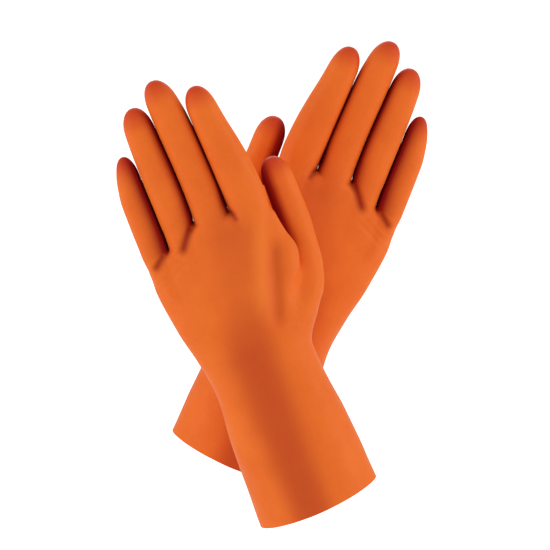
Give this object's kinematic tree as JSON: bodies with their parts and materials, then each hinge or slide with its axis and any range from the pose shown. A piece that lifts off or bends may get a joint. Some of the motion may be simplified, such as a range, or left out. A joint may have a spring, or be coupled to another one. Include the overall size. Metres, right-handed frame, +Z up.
{
  "type": "rubber gloves",
  "caption": "Pair of long-cuffed rubber household gloves with flock lining, crossed at the wrists; wrists, fingers and thumbs bend at their creases.",
  "frame": {"origin": "centre of the bounding box of the crossed pair at rest", "axes": "+Z up, along the raised fingers; +X to the right as the backs of the gloves are faced; +Y away from the viewer, out of the palms"},
  "size_m": [0.2132, 0.146, 0.3114],
  "materials": {
    "rubber_skin": "satin orange latex, smooth outside, slightly lighter where it is stretched",
    "flock_lining": "matt pale cotton flock bonded inside"
  },
  "bodies": {
    "left_cuff": {"left_cuff": "rubber_skin", "left_cuff_lining": "flock_lining"},
    "left_hand": {"left_hand": "rubber_skin", "left_hand_lining": "flock_lining"},
    "left_index_base": {"left_index_base": "rubber_skin"},
    "left_index_middle": {"left_index_middle": "rubber_skin"},
    "left_index_tip": {"left_index_tip": "rubber_skin"},
    "left_middle_base": {"left_middle_base": "rubber_skin"},
    "left_middle_middle": {"left_middle_middle": "rubber_skin"},
    "left_middle_tip": {"left_middle_tip": "rubber_skin"},
    "left_ring_base": {"left_ring_base": "rubber_skin"},
    "left_ring_middle": {"left_ring_middle": "rubber_skin"},
    "left_ring_tip": {"left_ring_tip": "rubber_skin"},
    "left_little_base": {"left_little_base": "rubber_skin"},
    "left_little_middle": {"left_little_middle": "rubber_skin"},
    "left_little_tip": {"left_little_tip": "rubber_skin"},
    "left_thumb_base": {"left_thumb_base": "rubber_skin"},
    "left_thumb_tip": {"left_thumb_tip": "rubber_skin"},
    "right_cuff": {"right_cuff": "rubber_skin", "right_cuff_lining": "flock_lining"},
    "right_hand": {"right_hand": "rubber_skin", "right_hand_lining": "flock_lining"},
    "right_index_base": {"right_index_base": "rubber_skin"},
    "right_index_middle": {"right_index_middle": "rubber_skin"},
    "right_index_tip": {"right_index_tip": "rubber_skin"},
    "right_middle_base": {"right_middle_base": "rubber_skin"},
    "right_middle_middle": {"right_middle_middle": "rubber_skin"},
    "right_middle_tip": {"right_middle_tip": "rubber_skin"},
    "right_ring_base": {"right_ring_base": "rubber_skin"},
    "right_ring_middle": {"right_ring_middle": "rubber_skin"},
    "right_ring_tip": {"right_ring_tip": "rubber_skin"},
    "right_little_base": {"right_little_base": "rubber_skin"},
    "right_little_middle": {"right_little_middle": "rubber_skin"},
    "right_little_tip": {"right_little_tip": "rubber_skin"},
    "right_thumb_base": {"right_thumb_base": "rubber_skin"},
    "right_thumb_tip": {"right_thumb_tip": "rubber_skin"}
  },
  "joints": [
    {"name": "left_wrist", "type": "hinge", "parent": "left_cuff", "child": "left_hand", "pos_m": [-0.00388, -0.04, -0.0495], "axis": [0.9385, 0, 0.3453], "range_deg": [0, 45], "stiffness_Nm_per_rad": 2},
    {"name": "left_index_knuckle", "type": "hinge", "parent": "left_hand", "child": "left_index_base", "pos_m": [-0.02351, -0.04, 0.07112], "axis": [-0.9164, 0, -0.4002], "range_deg": [0, 60], "stiffness_Nm_per_rad": 0.12},
    {"name": "left_index_middle_joint", "type": "hinge", "parent": "left_index_base", "child": "left_index_middle", "pos_m": [-0.03512, -0.04, 0.0977], "axis": [-0.9164, 0, -0.4002], "range_deg": [0, 75], "stiffness_Nm_per_rad": 0.12},
    {"name": "left_index_tip_joint", "type": "hinge", "parent": "left_index_middle", "child": "left_index_tip", "pos_m": [-0.04432, -0.04, 0.11877], "axis": [-0.9164, 0, -0.4002], "range_deg": [0, 50], "stiffness_Nm_per_rad": 0.12},
    {"name": "left_middle_knuckle", "type": "hinge", "parent": "left_hand", "child": "left_middle_base", "pos_m": [-0.04593, -0.04, 0.06396], "axis": [-0.9314, 0, -0.3639], "range_deg": [0, 60], "stiffness_Nm_per_rad": 0.12},
    {"name": "left_middle_middle_joint", "type": "hinge", "parent": "left_middle_base", "child": "left_middle_middle", "pos_m": [-0.05721, -0.04, 0.09283], "axis": [-0.9314, 0, -0.3639], "range_deg": [0, 75], "stiffness_Nm_per_rad": 0.12},
    {"name": "left_middle_tip_joint", "type": "hinge", "parent": "left_middle_middle", "child": "left_middle_tip", "pos_m": [-0.06667, -0.04, 0.11705], "axis": [-0.9314, 0, -0.3639], "range_deg": [0, 50], "stiffness_Nm_per_rad": 0.12},
    {"name": "left_ring_knuckle", "type": "hinge", "parent": "left_hand", "child": "left_ring_base", "pos_m": [-0.06614, -0.04, 0.05546], "axis": [-0.9308, 0, -0.3655], "range_deg": [0, 60], "stiffness_Nm_per_rad": 0.12},
    {"name": "left_ring_middle_joint", "type": "hinge", "parent": "left_ring_base", "child": "left_ring_middle", "pos_m": [-0.07637, -0.04, 0.08152], "axis": [-0.9308, 0, -0.3655], "range_deg": [0, 75], "stiffness_Nm_per_rad": 0.12},
    {"name": "left_ring_tip_joint", "type": "hinge", "parent": "left_ring_middle", "child": "left_ring_tip", "pos_m": [-0.08478, -0.04, 0.10293], "axis": [-0.9308, 0, -0.3655], "range_deg": [0, 50], "stiffness_Nm_per_rad": 0.12},
    {"name": "left_little_knuckle", "type": "hinge", "parent": "left_hand", "child": "left_little_base", "pos_m": [-0.08137, -0.03758, 0.03599], "axis": [-0.9442, 0, -0.3294], "range_deg": [0, 60], "stiffness_Nm_per_rad": 0.12},
    {"name": "left_little_middle_joint", "type": "hinge", "parent": "left_little_base", "child": "left_little_middle", "pos_m": [-0.08894, -0.03677, 0.0577], "axis": [-0.9442, 0, -0.3294], "range_deg": [0, 75], "stiffness_Nm_per_rad": 0.12},
    {"name": "left_little_tip_joint", "type": "hinge", "parent": "left_little_middle", "child": "left_little_tip", "pos_m": [-0.09519, -0.0361, 0.07562], "axis": [-0.9442, 0, -0.3294], "range_deg": [0, 50], "stiffness_Nm_per_rad": 0.12},
    {"name": "left_thumb_base_joint", "type": "hinge", "parent": "left_hand", "child": "left_thumb_base", "pos_m": [0.0169, -0.02505, 0.03962], "axis": [0.8625, 0.4223, 0.2788], "range_deg": [-35, 15], "stiffness_Nm_per_rad": 0.12},
    {"name": "left_thumb_tip_joint", "type": "hinge", "parent": "left_thumb_base", "child": "left_thumb_tip", "pos_m": [0.00808, -0.02316, 0.06401], "axis": [0.8625, 0.4223, 0.2788], "range_deg": [-45, 10], "stiffness_Nm_per_rad": 0.12},
    {"name": "gloves_apart", "type": "slide", "parent": "left_cuff", "child": "right_cuff", "axis": [0, 1, 0], "range_m": [0, 0.12]},
    {"name": "right_wrist", "type": "hinge", "parent": "right_cuff", "child": "right_hand", "pos_m": [0.00388, 0.04, -0.039], "axis": [-0.9385, 0, 0.3453], "range_deg": [0, 45], "stiffness_Nm_per_rad": 2},
    {"name": "right_index_knuckle", "type": "hinge", "parent": "right_hand", "child": "right_index_base", "pos_m": [0.02351, 0.04, 0.08162], "axis": [-0.9164, 0, 0.4002], "range_deg": [0, 60], "stiffness_Nm_per_rad": 0.12},
    {"name": "right_index_middle_joint", "type": "hinge", "parent": "right_index_base", "child": "right_index_middle", "pos_m": [0.03512, 0.04, 0.10819], "axis": [-0.9164, 0, 0.4002], "range_deg": [0, 75], "stiffness_Nm_per_rad": 0.12},
    {"name": "right_index_tip_joint", "type": "hinge", "parent": "right_index_middle", "child": "right_index_tip", "pos_m": [0.04432, 0.04, 0.12927], "axis": [-0.9164, 0, 0.4002], "range_deg": [0, 50], "stiffness_Nm_per_rad": 0.12},
    {"name": "right_middle_knuckle", "type": "hinge", "parent": "right_hand", "child": "right_middle_base", "pos_m": [0.04593, 0.04, 0.07446], "axis": [-0.9314, 0, 0.3639], "range_deg": [0, 60], "stiffness_Nm_per_rad": 0.12},
    {"name": "right_middle_middle_joint", "type": "hinge", "parent": "right_middle_base", "child": "right_middle_middle", "pos_m": [0.05721, 0.04, 0.10333], "axis": [-0.9314, 0, 0.3639], "range_deg": [0, 75], "stiffness_Nm_per_rad": 0.12},
    {"name": "right_middle_tip_joint", "type": "hinge", "parent": "right_middle_middle", "child": "right_middle_tip", "pos_m": [0.06667, 0.04, 0.12755], "axis": [-0.9314, 0, 0.3639], "range_deg": [0, 50], "stiffness_Nm_per_rad": 0.12},
    {"name": "right_ring_knuckle", "type": "hinge", "parent": "right_hand", "child": "right_ring_base", "pos_m": [0.06614, 0.04, 0.06596], "axis": [-0.9308, 0, 0.3655], "range_deg": [0, 60], "stiffness_Nm_per_rad": 0.12},
    {"name": "right_ring_middle_joint", "type": "hinge", "parent": "right_ring_base", "child": "right_ring_middle", "pos_m": [0.07637, 0.04, 0.09202], "axis": [-0.9308, 0, 0.3655], "range_deg": [0, 75], "stiffness_Nm_per_rad": 0.12},
    {"name": "right_ring_tip_joint", "type": "hinge", "parent": "right_ring_middle", "child": "right_ring_tip", "pos_m": [0.08478, 0.04, 0.11343], "axis": [-0.9308, 0, 0.3655], "range_deg": [0, 50], "stiffness_Nm_per_rad": 0.12},
    {"name": "right_little_knuckle", "type": "hinge", "parent": "right_hand", "child": "right_little_base", "pos_m": [0.08137, 0.04242, 0.04649], "axis": [-0.9442, 0, 0.3294], "range_deg": [0, 60], "stiffness_Nm_per_rad": 0.12},
    {"name": "right_little_middle_joint", "type": "hinge", "parent": "right_little_base", "child": "right_little_middle", "pos_m": [0.08894, 0.04323, 0.0682], "axis": [-0.9442, 0, 0.3294], "range_deg": [0, 75], "stiffness_Nm_per_rad": 0.12},
    {"name": "right_little_tip_joint", "type": "hinge", "parent": "right_little_middle", "child": "right_little_tip", "pos_m": [0.09519, 0.0439, 0.08612], "axis": [-0.9442, 0, 0.3294], "range_deg": [0, 50], "stiffness_Nm_per_rad": 0.12},
    {"name": "right_thumb_base_joint", "type": "hinge", "parent": "right_hand", "child": "right_thumb_base", "pos_m": [-0.0169, 0.05495, 0.05012], "axis": [0.8625, -0.4223, -0.2788], "range_deg": [-35, 15], "stiffness_Nm_per_rad": 0.12},
    {"name": "right_thumb_tip_joint", "type": "hinge", "parent": "right_thumb_base", "child": "right_thumb_tip", "pos_m": [-0.00808, 0.05684, 0.07451], "axis": [0.8625, -0.4223, -0.2788], "range_deg": [-45, 10], "stiffness_Nm_per_rad": 0.12}
  ],
  "couplings": [
    {"joint": "left_index_tip_joint", "follows": "left_index_middle_joint", "ratio": 0.66667},
    {"joint": "left_middle_tip_joint", "follows": "left_middle_middle_joint", "ratio": 0.66667},
    {"joint": "left_ring_tip_joint", "follows": "left_ring_middle_joint", "ratio": 0.66667},
    {"joint": "left_little_tip_joint", "follows": "left_little_middle_joint", "ratio": 0.66667},
    {"joint": "right_index_tip_joint", "follows": "right_index_middle_joint", "ratio": 0.66667},
    {"joint": "right_middle_tip_joint", "follows": "right_middle_middle_joint", "ratio": 0.66667},
    {"joint": "right_ring_tip_joint", "follows": "right_ring_middle_joint", "ratio": 0.66667},
    {"joint": "right_little_tip_joint", "follows": "right_little_middle_joint", "ratio": 0.66667}
  ]
}
